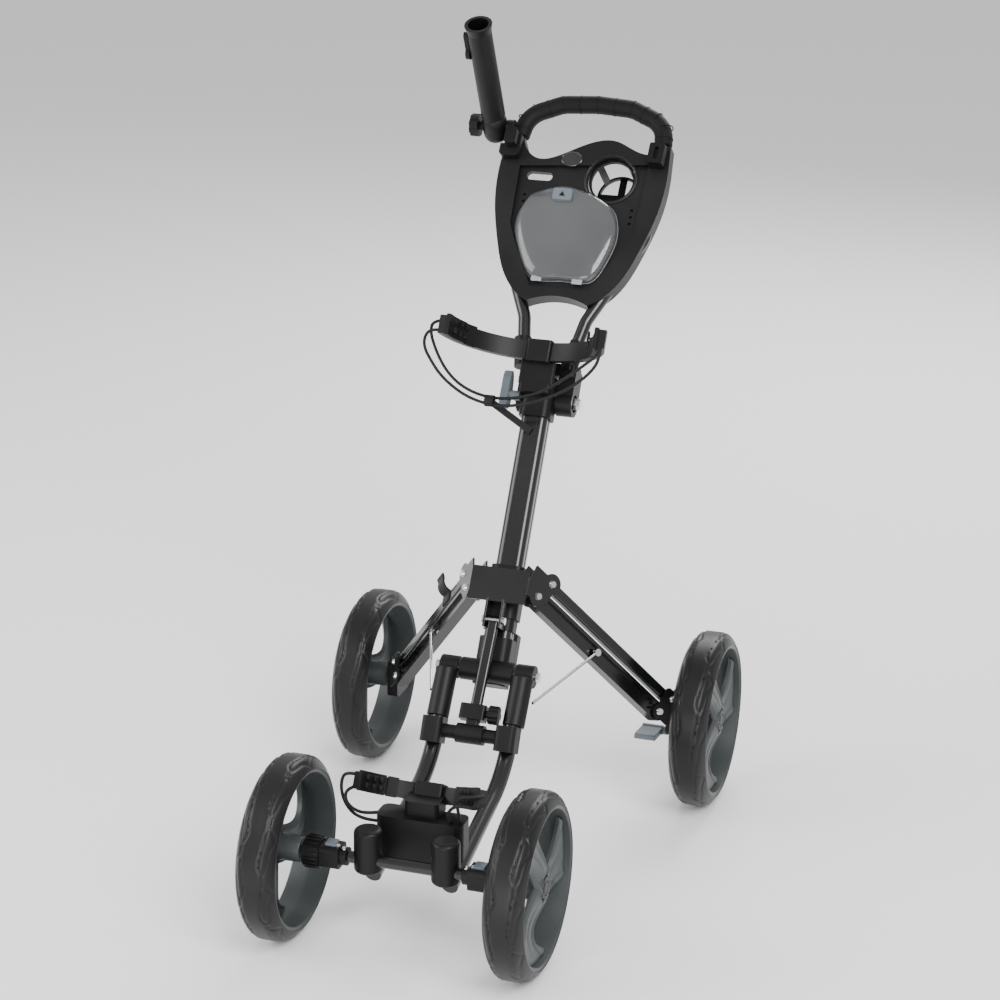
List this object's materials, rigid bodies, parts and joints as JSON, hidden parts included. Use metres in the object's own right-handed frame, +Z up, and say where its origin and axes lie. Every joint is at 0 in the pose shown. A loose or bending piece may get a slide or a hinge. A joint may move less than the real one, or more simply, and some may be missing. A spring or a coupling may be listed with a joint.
{
  "type": "golf push trolley",
  "caption": "Folding golf push trolley with wheels on a front fork and folding rear legs, bag cradles, a console handle and an umbrella holder.",
  "frame": {"origin": "on the floor, under the centre of the trolley's overall box", "axes": "+Z up, -Y towards the front wheels, +Y towards the handle and its user, +X to the side of the brake pedal"},
  "size_m": [0.643, 1.1052, 1.2479],
  "materials": {
    "black_paint": "gloss",
    "black_plastic": "matte",
    "pad_rubber": "matte",
    "elastic": "woven",
    "steel": "polished",
    "grip_foam": "matte",
    "grey_plastic": "satin",
    "smoke": "gloss",
    "rim_grey": "satin",
    "tyre_black": "satin"
  },
  "bodies": {
    "mast": {"mast_tube": "black_paint", "lower_hinge_housing": "black_plastic", "mast_top_clamp": "black_plastic", "mast_bolts": "steel", "upper_cradle": "black_plastic", "upper_pads": "pad_rubber", "upper_cord_a": "elastic", "upper_cord_b": "elastic", "cord_strap": "elastic"},
    "fork": {"fork_tubes": "black_paint", "fork_sleeves": "black_plastic", "cross_bracket": "black_plastic", "kingpins": "black_plastic", "front_axle": "black_paint", "axle_knuckles": "black_plastic", "lower_cradle": "black_plastic", "lower_pads": "pad_rubber", "lower_cord_left_a": "elastic", "lower_cord_left_b": "elastic", "lower_cord_right_a": "elastic", "lower_cord_right_b": "elastic"},
    "brace": {"brace_clamp": "black_plastic", "brace_rod": "black_paint"},
    "brace_lock": {"brace_knob": "black_plastic"},
    "slider": {"slider_sleeve": "black_plastic", "leg_bracket": "black_paint", "leg_bracket_pins": "steel"},
    "handle": {"handle_yoke": "black_plastic", "handle_tube": "black_paint", "grip": "grip_foam", "console": "black_plastic", "umbrella_mount": "black_plastic", "accessory_mount": "black_plastic"},
    "cover": {"scorecard_cover": "smoke"},
    "latch": {"cover_latch": "grey_plastic"},
    "cup": {"cup_basket": "black_plastic"},
    "umbrella_holder": {"umbrella_swivel": "black_plastic", "umbrella_socket": "black_plastic"},
    "umbrella_lock": {"umbrella_knob": "black_plastic"},
    "umbrella_catch": {"umbrella_clip": "black_plastic"},
    "handle_catch": {"handle_lever": "grey_plastic"},
    "brake": {"brake_pedal": "grey_plastic"},
    "leg_right": {"leg_channel_right": "black_paint"},
    "bar_right": {"leg_bar_right": "black_paint"},
    "wheel_bracket_right": {"leg_end_right": "black_plastic", "leg_end_pins_right": "steel"},
    "link_right": {"link_rod_right": "steel"},
    "rear_wheel_right": {"rear_tyre_right": "tyre_black", "rear_rim_right": "rim_grey"},
    "front_wheel_right": {"front_tyre_right": "tyre_black", "front_rim_right": "rim_grey"},
    "leg_left": {"leg_channel_left": "black_paint"},
    "bar_left": {"leg_bar_left": "black_paint"},
    "wheel_bracket_left": {"leg_end_left": "black_plastic", "leg_end_pins_left": "steel"},
    "link_left": {"link_rod_left": "steel"},
    "rear_wheel_left": {"rear_tyre_left": "tyre_black", "rear_rim_left": "rim_grey"},
    "front_wheel_left": {"front_tyre_left": "tyre_black", "front_rim_left": "rim_grey"}
  },
  "joints": [
    {"name": "fork_fold", "type": "hinge", "parent": "mast", "child": "fork", "pos_m": [0, -0.03273, 0.29543], "axis": [-1, 0, 0], "range_deg": [0, 100]},
    {"name": "slider_rise", "type": "slide", "parent": "mast", "child": "slider", "axis": [0, 0.518, 0.8554], "range_m": [0, 0.14234]},
    {"name": "brace_swing", "type": "hinge", "parent": "fork", "child": "brace", "pos_m": [0, -0.1185, 0.224], "axis": [-1, 0, 0], "range_deg": [-80.25, 0]},
    {"name": "leg_fold_right", "type": "hinge", "parent": "slider", "child": "leg_right", "pos_m": [0.05, 0.0395, 0.401], "axis": [-0.8104, 0.5011, -0.3035], "range_deg": [0, 29.11]},
    {"name": "bar_fold_right", "type": "hinge", "parent": "slider", "child": "bar_right", "pos_m": [0.06424, 0.06919, 0.41199], "axis": [-0.8104, 0.5011, -0.3035], "range_deg": [0, 29.11]},
    {"name": "bracket_level_right", "type": "hinge", "parent": "leg_right", "child": "wheel_bracket_right", "pos_m": [0.218, 0.1725, 0.172], "axis": [-0.8104, 0.5011, -0.3035], "range_deg": [-29.11, 0]},
    {"name": "link_swing_right", "type": "hinge", "parent": "leg_right", "child": "link_right", "pos_m": [0.14056, 0.0968, 0.29529], "axis": [0.78, -0.3659, 0.5077], "range_deg": [0, 39.69]},
    {"name": "rear_wheel_spin_right", "type": "hinge", "parent": "wheel_bracket_right", "child": "rear_wheel_right", "pos_m": [0.2905, 0.2335, 0.145], "axis": [1, 0, 0], "continuous": true},
    {"name": "front_wheel_spin_right", "type": "hinge", "parent": "fork", "child": "front_wheel_right", "pos_m": [0.1875, -0.4125, 0.14], "axis": [1, 0, 0], "continuous": true},
    {"name": "leg_fold_left", "type": "hinge", "parent": "slider", "child": "leg_left", "pos_m": [-0.05, 0.0395, 0.401], "axis": [-0.8104, -0.5011, 0.3035], "range_deg": [0, 29.11]},
    {"name": "bar_fold_left", "type": "hinge", "parent": "slider", "child": "bar_left", "pos_m": [-0.06424, 0.06919, 0.41199], "axis": [-0.8104, -0.5011, 0.3035], "range_deg": [0, 29.11]},
    {"name": "bracket_level_left", "type": "hinge", "parent": "leg_left", "child": "wheel_bracket_left", "pos_m": [-0.218, 0.1725, 0.172], "axis": [-0.8104, -0.5011, 0.3035], "range_deg": [-29.11, 0]},
    {"name": "link_swing_left", "type": "hinge", "parent": "leg_left", "child": "link_left", "pos_m": [-0.14056, 0.0968, 0.29529], "axis": [0.78, 0.3659, -0.5077], "range_deg": [0, 39.69]},
    {"name": "rear_wheel_spin_left", "type": "hinge", "parent": "wheel_bracket_left", "child": "rear_wheel_left", "pos_m": [-0.2905, 0.2335, 0.145], "axis": [1, 0, 0], "continuous": true},
    {"name": "front_wheel_spin_left", "type": "hinge", "parent": "fork", "child": "front_wheel_left", "pos_m": [-0.1875, -0.4125, 0.14], "axis": [1, 0, 0], "continuous": true},
    {"name": "handle_fold", "type": "hinge", "parent": "mast", "child": "handle", "pos_m": [0, 0.23563, 0.66134], "axis": [-1, 0, 0], "range_deg": [0, 140]},
    {"name": "cover_open", "type": "hinge", "parent": "handle", "child": "cover", "pos_m": [0, 0.32406, 0.8305], "axis": [-1, 0, 0], "range_deg": [-110, 0]},
    {"name": "latch_lift", "type": "hinge", "parent": "cover", "child": "latch", "pos_m": [0, 0.41659, 0.96995], "axis": [1, 0, 0], "range_deg": [-40, 0]},
    {"name": "cup_lift", "type": "slide", "parent": "handle", "child": "cup", "axis": [0, 0.7955, -0.606], "range_m": [-0.03, 0]},
    {"name": "umbrella_tilt", "type": "hinge", "parent": "handle", "child": "umbrella_holder", "pos_m": [-0.16, 0.4725, 1.054], "axis": [1, 0, 0], "range_deg": [-25, 35]},
    {"name": "umbrella_knob_turn", "type": "hinge", "parent": "handle", "child": "umbrella_lock", "pos_m": [-0.16, 0.4725, 1.054], "axis": [1, 0, 0], "continuous": true},
    {"name": "umbrella_catch_turn", "type": "hinge", "parent": "umbrella_holder", "child": "umbrella_catch", "pos_m": [-0.1803, 0.40531, 1.18587], "axis": [1, 0, 0], "range_deg": [-60, 0]},
    {"name": "handle_catch_turn", "type": "hinge", "parent": "mast", "child": "handle_catch", "pos_m": [-0.0268, 0.20277, 0.67656], "axis": [1, 0, 0], "range_deg": [-60, 0]},
    {"name": "brake_press", "type": "hinge", "parent": "wheel_bracket_right", "child": "brake", "pos_m": [0.206, 0.2115, 0.123], "axis": [1, 0, 0], "range_deg": [-22, 0]},
    {"name": "brace_knob_turn", "type": "hinge", "parent": "brace", "child": "brace_lock", "pos_m": [0.0194, -0.09878, 0.25171], "axis": [1, 0, 0], "continuous": true}
  ],
  "couplings": [
    {"joint": "slider_rise", "follows": "fork_fold", "m_per_rad": 0.081547},
    {"joint": "brace_swing", "follows": "fork_fold", "ratio": -0.80242},
    {"joint": "leg_fold_right", "follows": "fork_fold", "ratio": 0.29102},
    {"joint": "bar_fold_right", "follows": "fork_fold", "ratio": 0.29102},
    {"joint": "bracket_level_right", "follows": "fork_fold", "ratio": -0.29102},
    {"joint": "link_swing_right", "follows": "fork_fold", "ratio": 0.39681},
    {"joint": "leg_fold_left", "follows": "fork_fold", "ratio": 0.29102},
    {"joint": "bar_fold_left", "follows": "fork_fold", "ratio": 0.29102},
    {"joint": "bracket_level_left", "follows": "fork_fold", "ratio": -0.29102},
    {"joint": "link_swing_left", "follows": "fork_fold", "ratio": 0.39681}
  ]
}
